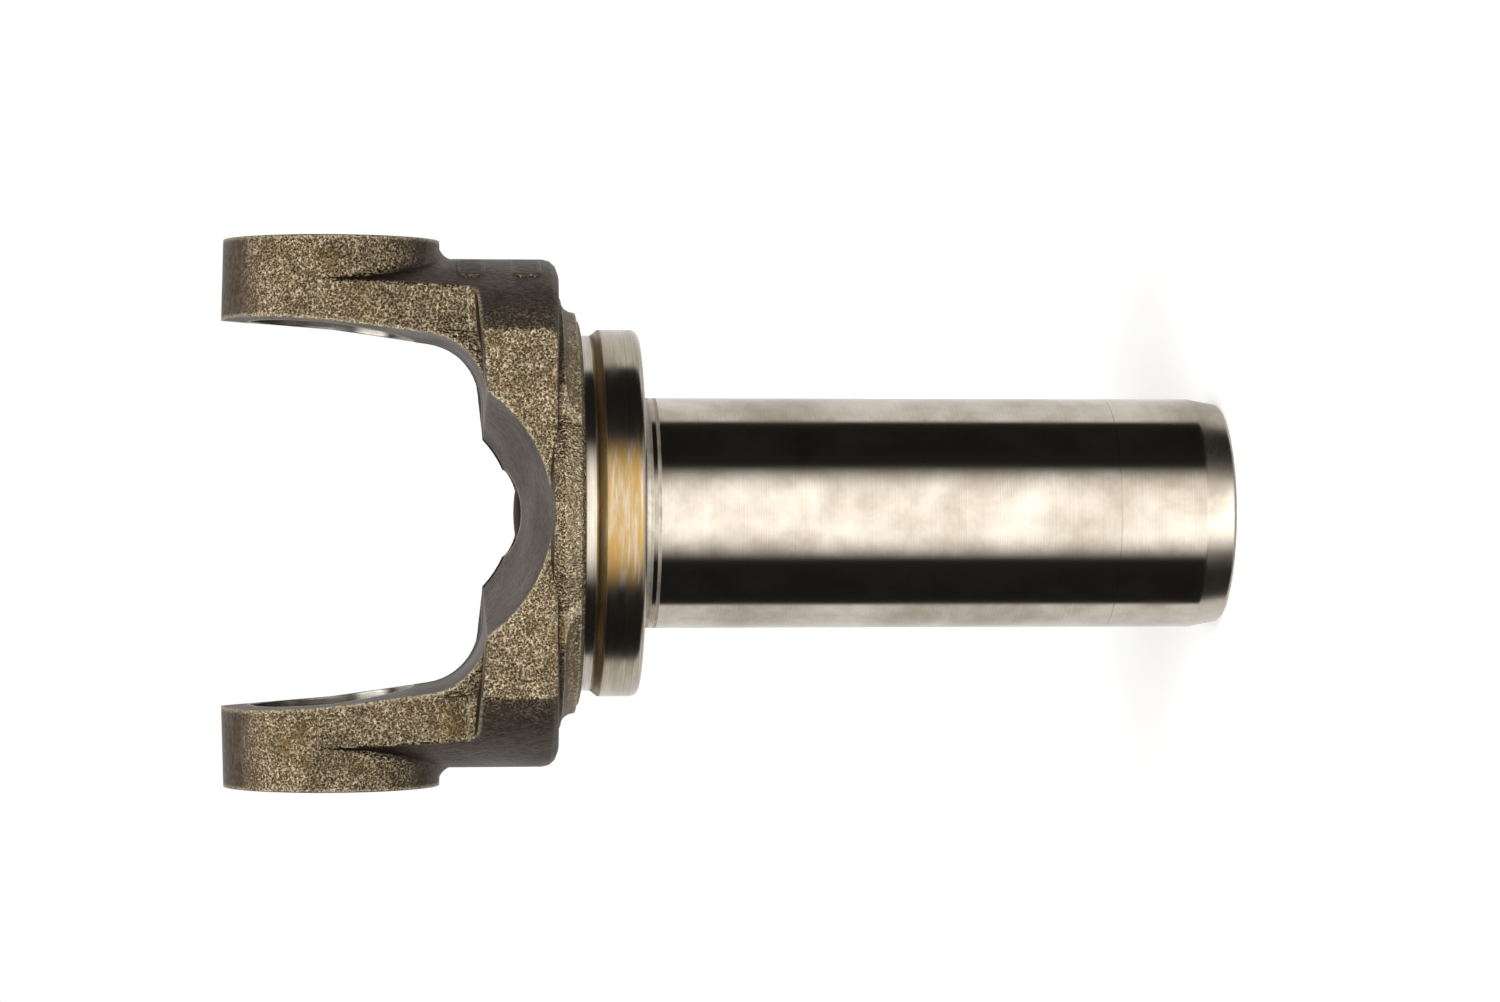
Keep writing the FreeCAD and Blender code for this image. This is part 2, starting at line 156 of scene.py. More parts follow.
def past(limit: float, offsets: Span) -> Span:
    """Moves a span to a limit that it was measured from, and returns it."""
    return tuple(limit + offset for offset in offsets)


@dataclass(frozen=True)
class Place:
    """Where a point of the yoke's surface is, as sockets, in millimetres where it is a length."""

    point: Socket      # position in metres
    y: Socket
    z: Socket
    out_x: Socket      # distance from the YZ plane
    shaft_r: Socket    # distance from the shaft axis
    bore_r: Socket     # distance from the cross bore's axis
    facing_y: Socket   # how squarely the surface faces along Y, 0 to 1
    drawn: Socket      # position squeezed across the shaft, so that a pattern runs out round it

    @staticmethod
    def of(tree: Tree, bore_z_mm: float) -> "Place":
        """Builds the sockets.

        Args:
            tree: The material's node tree.
            bore_z_mm: Height of the cross bore's axis.

        Returns:
            The place of the shaded point.
        """
        point = add(tree, "ShaderNodeTexCoord", output="Object")
        scaled = add(tree, VECTOR, {"Vector": point, "Scale": 1.0 / MM}, operation="SCALE")
        x, y, z = add(tree, "ShaderNodeSeparateXYZ", [scaled]).node.outputs
        raised = add(tree, MATH, [z, bore_z_mm], operation="SUBTRACT")
        flat = add(tree, "ShaderNodeCombineXYZ", [x, y, None])
        across = add(tree, "ShaderNodeCombineXYZ", [None, y, raised])
        normal = add(tree, "ShaderNodeTexCoord", output="Normal")
        return Place(
            point=point, y=y, z=z,
            out_x=add(tree, MATH, [x], operation="ABSOLUTE"),
            shaft_r=add(tree, VECTOR, [flat], "Value", operation="LENGTH"),
            bore_r=add(tree, VECTOR, [across], "Value", operation="LENGTH"),
            facing_y=add(tree, MATH, [add(tree, "ShaderNodeSeparateXYZ", [normal], "Y")], operation="ABSOLUTE"),
            drawn=add(tree, VECTOR, [point, DRAWN_OUT], operation="MULTIPLY"),
        )


@dataclass(frozen=True)
class Layer:
    """What one finish gives a surface."""

    colour: Socket
    roughness: Socket
    height: Socket              # relief, in metres
    edge: "Socket | float"      # share of the mirror-like brightening at grazing angles, 1 on clean metal

    def under(self, tree: Tree, cover: "Layer", mask: Socket) -> "Layer":
        """Lays another finish over this one.

        Args:
            tree: The material's node tree.
            cover: The finish that goes on top.
            mask: One where it covers this one.

        Returns:
            The two together.
        """
        return Layer(
            add(tree, MIX, {0: mask, 6: self.colour, 7: cover.colour}, 2, **COLOUR),
            add(tree, MIX, {0: mask, 2: self.roughness, 3: cover.roughness}),
            add(tree, MIX, {0: mask, 2: self.height, 3: cover.height}),
            add(tree, MIX, {0: mask, 2: self.edge, 3: cover.edge}),
        )


# --------------------------------------------------------------------------------------------- finishes


@dataclass(frozen=True)
class Grain:
    """The patterns of the blasted skin that its relief, colour and roughness share, as sockets."""

    crater: Socket     # craters of the shot
    sand: Socket       # fine grain
    lump: Socket       # clusters of craters
    wave: Socket       # slow unevenness
    tone: Socket       # light and dark from grain to grain
    coarse: Socket     # one where the skin is coarse, nothing where it is drafted
    rim: Socket        # one on the blasted rim behind the fork


@dataclass(frozen=True)
class ShotBlastedForging:
    """Hot forged carbon steel, shot blasted clean of scale and dipped in rust preventive.

    To the eye it is a brown-grey metal with a coarse crinkled grain, whose small facets flash or go dark as
    they face the light or turn from it; the bright grains, the rim behind the fork and the light lines on its
    edges are painted highlights. Oil stands yellow in the low places. The drafted faces are smoother and
    greyer, and paler at the ears' ends, the fork's back and inside the fork. The inner corners, the arms and
    the far side inside the fork are darkened with painted shade, and the rim has a painted shadow.
    """

    skin: str = "#89755a"
    # painted highlight: the bright grains, the rim behind the fork and the light lines on the edges
    glint: str = "#efdfbc"
    # the dark pits and specks, and the painted shade in corners, on the arms and on the rim
    pit_and_shade: str = "#2b231a"
    drafted: str = "#574b41"
    # the drafted faces' paler colour at the ears' ends, the fork's back and inside the fork
    pale_drafted: str = "#6f5f51"
    oil: str = "#7b6326"
    sheared: str = "#8d867b"
    # painted shade on the far side inside the fork and along its parting line
    painted_side: str = "#1d1a12"

    grain_mm: float = 0.40              # shot craters, 0.3 to 0.8 mm across
    fine_mm: float = 0.22
    lump_mm: float = 0.96
    wave_mm: float = 11.0
    stain_mm: float = 6.6
    mottle_mm: float = 3.3
    streak_mm: float = 1.1111           # the shear's marks along the trimmed flash
    crater_depth_mm: float = 0.30
    wave_depth: float = 1.4             # depth of the slow waves, in depths of a crater
    roughness: float = 0.34
    drafted_roughness: float = 0.43
    roughness_shift: Span = (0.3, 0.7, 0.06, -0.06)

    square: Span = (0.54, 0.84)         # of facing_y: a face square to the dies
    rim_facing: Span = (0.15, 0.55)     # the same behind the fork, where the coarse grain reaches further round
    rim_z: Span = (110.6, 110.2)        # the back of the fork
    worn: Span = (0.0, 1.0, 0.42, 1.0)  # depth of the grain, from drafted to coarse
    crater_tone: float = 0.55
    pits: Span = (0.50, 0.84)           # of the tone
    highlights: Span = (0.80, 0.98)
    stains: Span = (0.52, 0.72, 0.0, 0.45)
    film: float = 0.20                  # darkening of the arms: painted shade
    arm_shade_from_z: Span = (120.0, 127.0)
    arm_shade_to_z: Span = (157.0, 149.0)
    mottle: Span = (0.40, 0.68, 0.0, 0.30)
    # painted highlight on the rim behind the fork
    rim_highlight: float = 0.12
    rim_shadow_z: Span = (107.1, 108.6, 0.45, 0.0)
    pale_ears_z: Span = (138.0, 156.0)
    pale_inside_x: Span = (29.5, 27.0, 0.0, 0.5)
    speck_sand: float = 0.6
    specks: Span = (1.0, 0.60, 0.0, 0.55)

    outside_x: Span = (30.6, 31.6)      # from the fork's inside to its outside
    flash_half_mm: float = 1.1          # half width of the trimmed flash line on the parting plane
    flash_soft_mm: float = 0.5
    streaks: Span = (0.35, 0.6, 0.15, 0.7)
    edge_highlight_mm: float = 0.9              # how far the painted highlight reaches in from an edge
    edge_highlight_ao: Span = (0.92, 0.60, 0.0, 0.75)
    edge_highlight_tone: Span = (0.55, 0.95, 0.15, 1.0)
    corner_shade_mm: float = 1.6                # how far the painted shade reaches out of an inner corner
    corner_shade: Span = (0.90, 0.50, 0.0, 0.75)
    fork_shade_y: Span = (5.0, 11.0, 0.0, 0.5)
    fork_shade_z: Span = (121.0, 123.0)
    shade_line_mm: float = 0.3            # how much wider than the flash the painted dark line inside the fork is
    shade_line_soft_mm: float = 1.0
    shade_line: float = 0.6
    edge: Span = (0.0, 0.9, 0.80, 0.0)  # brightening at grazing angles, from none of the painted shade inside the fork to all of it

    def grain(self, tree: Tree, place: Place) -> Grain:
        """Draws the patterns of the skin.

        Faces square to the dies keep the coarse grain. The drafted faces rubbed smoother as they left the die,
        and the blasted rim behind the fork is coarse nearly all the way round.

        Args:
            tree: The material's node tree.
            place: Where the shaded point is.

        Returns:
            The patterns.
        """
        crater = add(tree, "ShaderNodeTexVoronoi", {"Vector": place.point, "Scale": 1 / (self.grain_mm * MM),
                     "Randomness": 1.0, "Smoothness": 0.5}, feature="SMOOTH_F1")
        sand = add(tree, NOISE, {"Vector": place.point, "Scale": 1 / (self.fine_mm * MM), "Detail": 2.0,
                   "Roughness": 0.6})
        lump = add(tree, NOISE, {"Vector": place.point, "Scale": 1 / (self.lump_mm * MM), "Detail": 1.0})
        wave = add(tree, NOISE, {"Vector": place.point, "Scale": 1 / (self.wave_mm * MM), "Detail": 2.0})
        tone = add(tree, MATH, [crater, self.crater_tone, sand], operation="MULTIPLY_ADD")
        square = add(tree, RAMP, [place.facing_y, *self.square], **SMOOTH)
        behind = add(tree, RAMP, [place.z, *self.rim_z], **SMOOTH)
        facing = add(tree, RAMP, [place.facing_y, *self.rim_facing], **SMOOTH)
        rim = add(tree, MATH, [behind, facing], operation="MULTIPLY")
        coarse = add(tree, MATH, [square, rim], operation="MAXIMUM")
        return Grain(crater, sand, lump, wave, tone, coarse, rim)

    def relief(self, tree: Tree, grain: Grain) -> Socket:
        """Builds the height of the skin, with a shallower grain on the drafted faces.

        Args:
            tree: The material's node tree.
            grain: The patterns of the skin.

        Returns:
            The height in metres.
        """
        craters = add(tree, MATH, [grain.crater, grain.sand, grain.lump], operation="MULTIPLY_ADD")
        worn = add(tree, RAMP, [grain.coarse, *self.worn], **SMOOTH)
        kept = add(tree, MATH, [craters, worn], operation="MULTIPLY")
        uneven = add(tree, MATH, [grain.wave, self.wave_depth, kept], operation="MULTIPLY_ADD")
        return add(tree, MATH, [uneven, self.crater_depth_mm * MM], operation="MULTIPLY")

    def blasted(self, tree: Tree, place: Place, grain: Grain) -> Socket:
        """Colours the coarse faces: dark pits, painted highlights on bright grains and on the rim, yellow oil
        in patches, and painted shade on the arms.

        Args:
            tree: The material's node tree.
            place: Where the shaded point is.
            grain: The patterns of the skin.

        Returns:
            The colour.
        """
        pits = add(tree, RAMP, [grain.tone, *self.pits], **SMOOTH)
        colour = add(tree, MIX, {0: pits, 6: linear(self.pit_and_shade), 7: linear(self.skin)}, 2, **COLOUR)
        highlights = add(tree, RAMP, [grain.tone, *self.highlights], **SMOOTH)
        cloud = add(tree, NOISE, {"Vector": place.point, "Scale": 1 / (self.stain_mm * MM), "Detail": 3.0})
        stains = add(tree, RAMP, [cloud, *self.stains], **SMOOTH)
        # painted shade on the arms, with a random mottle in it
        arms = add(tree, MATH, [add(tree, RAMP, [place.z, *self.arm_shade_from_z], **SMOOTH),
                   add(tree, RAMP, [place.z, *self.arm_shade_to_z], **SMOOTH)], operation="MULTIPLY")
        cloud = add(tree, NOISE, {"Vector": place.point, "Scale": 1 / (self.mottle_mm * MM), "Detail": 2.0})
        mottle = add(tree, RAMP, [cloud, *self.mottle], **SMOOTH)
        film = add(tree, MATH, [arms, self.film, mottle], operation="MULTIPLY_ADD")
        bright = add(tree, MATH, [grain.rim, self.rim_highlight], operation="MULTIPLY")
        # painted highlights on the bright grains and on the rim
        marks = ((highlights, self.glint), (stains, self.oil), (film, self.pit_and_shade), (bright, self.glint))
        return self.marked(tree, colour, marks)

    def smoothed(self, tree: Tree, place: Place, grain: Grain) -> Socket:
        """Colours the drafted faces, paler at the ears' ends, at the fork's back and inside the fork, with dark
        specks.

        Args:
            tree: The material's node tree.
            place: Where the shaded point is.
            grain: The patterns of the skin.

        Returns:
            The colour.
        """
        ears = add(tree, RAMP, [place.z, *self.pale_ears_z], **SMOOTH)
        behind = add(tree, RAMP, [place.z, *self.rim_z], **SMOOTH)
        inside = add(tree, RAMP, [place.out_x, *self.pale_inside_x], **SMOOTH)
        pale_drafted = add(tree, MATH, [ears, behind], operation="MAXIMUM")
        pale_drafted = add(tree, MATH, [pale_drafted, inside], operation="MAXIMUM")
        colour = add(tree, MIX, {0: pale_drafted, 6: linear(self.drafted), 7: linear(self.pale_drafted)}, 2, **COLOUR)
        dots = add(tree, MATH, [grain.sand, self.speck_sand, grain.lump], operation="MULTIPLY_ADD")
        specks = add(tree, RAMP, [dots, *self.specks], **SMOOTH)
        return self.marked(tree, colour, ((specks, self.pit_and_shade),))

    def trimmed(self, tree: Tree, place: Place, outside: Socket) -> Socket:
        """Finds the sheared flash line round the outside.

        Args:
            tree: The material's node tree.
            place: Where the shaded point is.
            outside: One on the outside of the fork.

        Returns:
            The mask.
        """
        line = band(tree, place.y, -self.flash_half_mm, self.flash_half_mm, self.flash_soft_mm)
        line = add(tree, MATH, [line, outside], operation="MULTIPLY")
        cloud = add(tree, NOISE, {"Vector": place.point, "Scale": 1 / (self.streak_mm * MM), "Detail": 3.0})
        streaks = add(tree, RAMP, [cloud, *self.streaks], **SMOOTH)
        return add(tree, MATH, [line, streaks], operation="MULTIPLY")

    def edge_highlights(self, tree: Tree, grain: Grain) -> Socket:
        """Finds the convex edges that get a painted highlight.

        Args:
            tree: The material's node tree.
            grain: The patterns of the skin.

        Returns:
            The mask.
        """
        within = add(tree, OCCLUSION, {"Distance": self.edge_highlight_mm * MM}, "AO", samples=6, inside=True,
                     only_local=True)
        edges = add(tree, RAMP, [within, *self.edge_highlight_ao], **SMOOTH)
        grains = add(tree, RAMP, [grain.tone, *self.edge_highlight_tone], **SMOOTH)
        return add(tree, MATH, [edges, grains], operation="MULTIPLY")

    def shaded_corners(self, tree: Tree) -> Socket:
        """Finds the inner corners, where the painted shade goes, and returns their mask."""
        around = add(tree, OCCLUSION, {"Distance": self.corner_shade_mm * MM}, "AO", samples=6, only_local=True)
        return add(tree, RAMP, [around, *self.corner_shade], **SMOOTH)

    def fork_shade(self, tree: Tree, place: Place, outside: Socket) -> Socket:
        """Finds the painted shade inside the fork: a dark line on the parting plane, and the arms' lower
        halves.

        Args:
            tree: The material's node tree.
            place: Where the shaded point is.
            outside: One on the outside of the fork.

        Returns:
            The mask.
        """
        arms = add(tree, RAMP, [place.z, *self.fork_shade_z], **SMOOTH)
        side = add(tree, RAMP, [place.y, *self.fork_shade_y], **SMOOTH)
        far_half = add(tree, MATH, [arms, side], operation="MULTIPLY")
        half = self.flash_half_mm + self.shade_line_mm
        line = band(tree, place.y, -half, half, self.shade_line_soft_mm)
        line = add(tree, MATH, [line, self.shade_line], operation="MULTIPLY")
        # oil is the mask of this painted shade
        oil = add(tree, MATH, [far_half, line], operation="MAXIMUM")
        inside = add(tree, MATH, [1.0, outside], operation="SUBTRACT")
        return add(tree, MATH, [oil, inside], operation="MULTIPLY")

    def marked(self, tree: Tree, colour: Socket, marks: tuple[tuple[Socket, str], ...]) -> Socket:
        """Lays marks over a colour, one after the other.

        Args:
            tree: The material's node tree.
            colour: What they go on.
            marks: The mask and the hex colour of each.

        Returns:
            The marked colour.
        """
        for mask, shade in marks:
            colour = add(tree, MIX, {0: mask, 6: colour, 7: linear(shade)}, 2, **COLOUR)
        return colour

    def layer(self, tree: Tree, place: Place) -> Layer:
        """Builds the finish.

        Args:
            tree: The material's node tree.
            place: Where the shaded point is.

        Returns:
            The finish's layer.
        """
        grain = self.grain(tree, place)
        outside = add(tree, RAMP, [place.out_x, *self.outside_x], **SMOOTH)
        fall = add(tree, RAMP, [place.z, *self.rim_shadow_z], **SMOOTH)
        shadow = add(tree, MATH, [grain.rim, fall], operation="MULTIPLY")
        # oil is the mask of the painted shade inside the fork
        oil = self.fork_shade(tree, place, outside)
        colour = add(tree, MIX, {0: grain.coarse, 6: self.smoothed(tree, place, grain),
                     7: self.blasted(tree, place, grain)}, 2, **COLOUR)
        # painted shadow on the rim, the sheared flash line, painted highlights on the edges, and painted shade
        # in the inner corners and inside the fork
        marks = ((shadow, self.pit_and_shade), (self.trimmed(tree, place, outside), self.sheared),
                 (self.edge_highlights(tree, grain), self.glint), (self.shaded_corners(tree), self.pit_and_shade), (oil, self.painted_side))
        rough = add(tree, RAMP, [grain.coarse, 0.0, 1.0, self.drafted_roughness, self.roughness], **SMOOTH)
        shift = add(tree, RAMP, [grain.wave, *self.roughness_shift], **SMOOTH)
        return Layer(self.marked(tree, colour, marks), add(tree, MATH, [rough, shift], operation="ADD"),
                     self.relief(tree, grain), add(tree, RAMP, [oil, *self.edge], **SMOOTH))


@dataclass(frozen=True)
class CutSteel:
    """Bare steel cut on a machine: turned, faced, bored, broached or ground.

    The tool leaves fine lines that run round the part. To the eye they draw each reflection out across them
    and give the metal its faint grain. A film of oil makes slow light and dark patches.
    """

    metal: str
    shade: str
    marks_mm: float            # spacing of the lines that show, which stand for several real ones
    depth_mm: float
    roughness: float
    line_share: float          # how much the lines show in its tone
    patch_mm: float            # size of the patches in the film
    film: float                # how much the film shows
    reflected_tint: str = ""            # colour of the painted warm reflection on the faces square to Y, in patches
    drawn: bool = False        # whether the film is wiped out round the shaft
    line_reach: float = 0.20   # how far the change from metal to shade reaches each way, in line_share
    film_reach: float = 0.28   # and in film
    # of facing_y: the faces square to Y that get the painted reflection
    painted_side: Span = (0.88, 0.95)
    caught: Span = (0.38, 0.60, 0.20, 1.0)
    patches: Span = (0.35, 0.65)
    spread: Span = (0.85, 1.25)    # the patches' roughness, in shares of its own

    def layer(self, tree: Tree, place: Place, along: Socket) -> Layer:
        """Builds the finish.

        Args:
            tree: The material's node tree.
            place: Where the shaded point is.
            along: Distance along the cut, in millimetres, square to the tool's lines.

        Returns:
            The finish's layer.
        """
        lines = add(tree, NOISE, {"W": along, "Scale": 1 / self.marks_mm, "Detail": 3.0, "Roughness": 0.7},
                    noise_dimensions="1D")
        patch = add(tree, NOISE, {"Vector": place.drawn if self.drawn else place.point,
                    "Scale": 1 / (self.patch_mm * MM), "Detail": 4.0, "Roughness": 0.6, "Distortion": 0.2})
        lined = add(tree, MATH, [lines, self.line_share], operation="MULTIPLY")
        tone = add(tree, MATH, [patch, self.film, lined], operation="MULTIPLY_ADD")
        middle = (self.film + self.line_share) / 2
        reach = self.film_reach * self.film + self.line_reach * self.line_share
        share = add(tree, RAMP, [tone, middle - reach, middle + reach], **SMOOTH)
        colour = add(tree, MIX, {0: share, 6: linear(self.metal), 7: linear(self.shade)}, 2, **COLOUR)
        # the painted warm reflection, in patches, on the faces square to Y
        if self.reflected_tint:
            painted_side = add(tree, RAMP, [place.facing_y, *self.painted_side], **SMOOTH)
            caught = add(tree, RAMP, [patch, *self.caught], **SMOOTH)
            mask = add(tree, MATH, [painted_side, caught], operation="MULTIPLY")
            colour = add(tree, MIX, {0: mask, 6: colour, 7: linear(self.reflected_tint)}, 2, **COLOUR)
        roughness = add(tree, RAMP, [patch, *self.patches, *(self.roughness * part for part in self.spread)],
                        **SMOOTH)
        height = add(tree, MATH, [lines, self.depth_mm * MM], operation="MULTIPLY")
        return Layer(colour, roughness, height, 1.0)


class Cut(Enum):
    """The machined surfaces, each with its own cutter and feed. The numbers are CutSteel's, in its order."""

    # The collar, with a painted warm reflection on its faces square to Y, the spigot between it and the fork,
    # the painted dark reflection over the spigot's chamfer, and the neck.
    TURNED = CutSteel("#c4baa9", "#978c7a", 0.34, 0.0025, 0.17, 0.35, 1.6, 0.5, "#a4844c", True)
    SPIGOT = CutSteel("#d2c9bb", "#9c9283", 0.30, 0.0020, 0.15, 0.35, 1.6, 0.4, "", True)
    PAINTED_DARK_CHAMFER = CutSteel("#a58c62", "#57452d", 0.30, 0.0020, 0.38, 0.40, 1.6, 0.4, "", True)
    NECKED = CutSteel("#ded6ca", "#b3a998", 0.30, 0.0030, 0.52, 0.35, 4.0, 0.4)
    # The barrel, its lead at the open end, and the lines that the wheel and the seal left on it.
    GROUND = CutSteel("#d9d0c3", "#9b8f7e", 0.20, 0.0004, 0.11, 0.12, 13.0, 0.7)
    LEAD = CutSteel("#d0c7b9", "#9b8f7e", 0.20, 0.0008, 0.24, 0.12, 13.0, 0.7)
    SCORED = CutSteel("#b8ae9f", "#857a6a", 0.15, 0.0010, 0.13, 0.40, 3.0, 0.4)
    # The ears' ends, the cup seats in them, and the splined socket.
    FACED = CutSteel("#bdb8ae", "#8d877c", 0.40, 0.0040, 0.27, 0.60, 8.0, 0.4)
    BORED = CutSteel("#b5b0a6", "#88827a", 0.25, 0.0015, 0.22, 0.40, 7.0, 0.3)
    BROACHED = CutSteel("#8f897e", "#5f594f", 0.50, 0.0030, 0.30, 0.40, 6.0, 0.5)


@dataclass
class YokeSteel:
    """The forging's one material: each finish in its own zone, by the part's own dimensions.

    A span named after an edge says how far past it the finish starts and is complete.
    """

    bore_z_mm: float
    bore_r_mm: float
    half_span_mm: float
    barrel_r_mm: float
    edge_mm: float = 0.45           # rounding of the forged edges
    fork_back_mm: float = 107.0     # the lathe cut up to here
    fork_back: Span = (0.05, -0.02)
    ground_mm: float = 94.3         # the barrel is ground up to here
    ground: Span = (0.1, -0.1)
    neck_mm: float = 97.4           # and the turned neck goes on up to the collar's face
    neck: Span = (0.0, -0.2)
    score_mm: Span = (94.9, 95.6)
    score_soft_mm: float = 0.2
    hairline_mm: Span = (19.08, 19.32)      # a faint line left by the seal's sleeve
    hairline_soft_mm: float = 0.15
    hairline: float = 0.5
    lead_mm: float = 5.0
    lead: Span = (0.5, -0.5)
    spigot_mm: Span = (105.4, 107.1)
    spigot_soft_mm: float = 0.2
    # the band that gets the painted dark reflection over the spigot's chamfer
    chamfer_mm: Span = (103.7, 105.4)
    chamfer_soft_mm: float = 0.3
    outer: Span = (-1.1, -1.0)      # past the barrel's radius: its outside and the lead
    socket: Span = (-2.2, -2.3)     # and the wall of the splined socket
    socket_z: Span = (110.6, 110.5)
    face: Span = (-0.12, -0.04)     # past the span over the ears
    groove: Span = (-4.4, -4.3)     # and from the inner side of the snap ring's groove
    bore: Span = (0.10, 0.04)       # past the cross bore's radius
    groove_r: Span = (0.95, 0.85)
    name: str = "forged_steel"

    def masks(self, tree: Tree, place: Place) -> dict[Cut, Socket]:
        """Finds where each cutter has been.

        Args:
            tree: The material's node tree.
            place: Where the shaded point is.

        Returns:
            One mask for each machined finish, in the order in which they go on.
        """
        turned = add(tree, RAMP, [place.z, *past(self.fork_back_mm, self.fork_back)], **SMOOTH)
        spigot = band(tree, place.z, *self.spigot_mm, self.spigot_soft_mm)
        # the band of painted dark reflection over the spigot's chamfer
        chamfer = band(tree, place.z, *self.chamfer_mm, self.chamfer_soft_mm)
        necked = add(tree, RAMP, [place.z, *past(self.neck_mm, self.neck)], **SMOOTH)
        outer = add(tree, RAMP, [place.shaft_r, *past(self.barrel_r_mm, self.outer)], **SMOOTH)
        ground = add(tree, RAMP, [place.z, *past(self.ground_mm, self.ground)], **SMOOTH)
        lead = add(tree, RAMP, [place.z, *past(self.lead_mm, self.lead)], **SMOOTH)
        hairline = band(tree, place.z, *self.hairline_mm, self.hairline_soft_mm)
        score = band(tree, place.z, *self.score_mm, self.score_soft_mm)
        inside = add(tree, RAMP, [place.shaft_r, *past(self.barrel_r_mm, self.socket)], **SMOOTH)
        below = add(tree, RAMP, [place.z, *self.socket_z], **SMOOTH)
        faced = add(tree, RAMP, [place.out_x, *past(self.half_span_mm, self.face)], **SMOOTH)
        seat = add(tree, RAMP, [place.bore_r, *past(self.bore_r_mm, self.bore)], **SMOOTH)
        outside = add(tree, RAMP, [place.out_x, *past(self.half_span_mm, self.groove)], **SMOOTH)
        wide = add(tree, RAMP, [place.bore_r, *past(self.bore_r_mm, self.groove_r)], **SMOOTH)
        grooved = add(tree, MATH, [outside, wide], operation="MULTIPLY")
        return {
            Cut.TURNED: turned,
            Cut.SPIGOT: spigot,
            Cut.PAINTED_DARK_CHAMFER: chamfer,
            Cut.NECKED: necked,
            Cut.GROUND: add(tree, MATH, [ground, outer], operation="MULTIPLY"),
            Cut.LEAD: add(tree, MATH, [lead, outer], operation="MULTIPLY"),
            Cut.SCORED: add(tree, MATH, [hairline, self.hairline, score], operation="MULTIPLY_ADD"),
            Cut.BROACHED: add(tree, MATH, [inside, below], operation="MULTIPLY"),
            Cut.FACED: faced,
            Cut.BORED: add(tree, MATH, [seat, grooved], operation="MAXIMUM"),
        }

    def build(self) -> bpy.types.Material:
        """Makes the material.

        Returns:
            The material.
        """
        material = bpy.data.materials.new(self.name)
        material.use_nodes = True
        tree = material.node_tree
        tree.nodes.clear()
        place = Place.of(tree, self.bore_z_mm)
        layer = ShotBlastedForging().layer(tree, place)
        shaft_run = add(tree, MATH, [place.z, place.shaft_r], operation="ADD")
        bore_run = add(tree, MATH, [place.out_x, place.bore_r], operation="ADD")
        runs = {Cut.FACED: bore_run, Cut.BORED: bore_run}
        for cut, mask in self.masks(tree, place).items():
            layer = layer.under(tree, cut.value.layer(tree, place, runs.get(cut, shaft_run)), mask)
        soft = add(tree, "ShaderNodeBevel", {"Radius": self.edge_mm * MM}, samples=6)
        normal = add(tree, BUMP, {"Strength": 1.0, "Distance": 1.0, "Height": layer.height, "Normal": soft})
        shader = add(tree, SHADER, {"Base Color": layer.colour, "Metallic": 1.0, "Roughness": layer.roughness,
                     "Specular Tint": layer.edge, "Normal": normal})
        tree.links.new(shader, tree.nodes.new("ShaderNodeOutputMaterial").inputs["Surface"])
        return material


@dataclass(frozen=True)
class PressedSheet:
    """Cold pressed sheet steel. To the eye it is a smooth grey disc with faint rings from the punch."""

    metal: str = "#5f594f"
    shade: str = "#403b33"
    tint: str = "#a09c95"           # its dull edge brightening, under dried oil
    ring_mm: float = 0.8
    ring_depth_mm: float = 0.004
    stain_mm: float = 3.8462
    stains: Span = (0.15, 0.4)
    dull: Span = (0.3, 0.7)
    roughness: Span = (0.39, 0.55)
    name: str = "plug_steel"

    def build(self) -> bpy.types.Material:
        """Makes the material.

        Returns:
            The material.
        """
        material = bpy.data.materials.new(self.name)
        material.use_nodes = True
        tree = material.node_tree
        tree.nodes.clear()
        place = Place.of(tree, 0.0)
        rings = add(tree, NOISE, {"W": place.shaft_r, "Scale": 1 / self.ring_mm, "Detail": 2.0},
                    noise_dimensions="1D")
        cloud = add(tree, NOISE, {"Vector": place.point, "Scale": 1 / (self.stain_mm * MM), "Detail": 4.0})
        share = add(tree, MATH, [rings, cloud], operation="MULTIPLY")
        stains = add(tree, RAMP, [share, *self.stains], **SMOOTH)
        colour = add(tree, MIX, {0: stains, 6: linear(self.metal), 7: linear(self.shade)}, 2, **COLOUR)
        roughness = add(tree, RAMP, [cloud, *self.dull, *self.roughness], **SMOOTH)
        height = add(tree, MATH, [rings, self.ring_depth_mm * MM], operation="MULTIPLY")
        normal = add(tree, BUMP, {"Strength": 1.0, "Distance": 1.0, "Height": height})
        shader = add(tree, SHADER, {"Base Color": colour, "Metallic": 1.0, "Roughness": roughness,
                     "Specular Tint": linear(self.tint), "Normal": normal})
        tree.links.new(shader, tree.nodes.new("ShaderNodeOutputMaterial").inputs["Surface"])
        return material


# ---------------------------------------------------------------------------------------- sub-assemblies


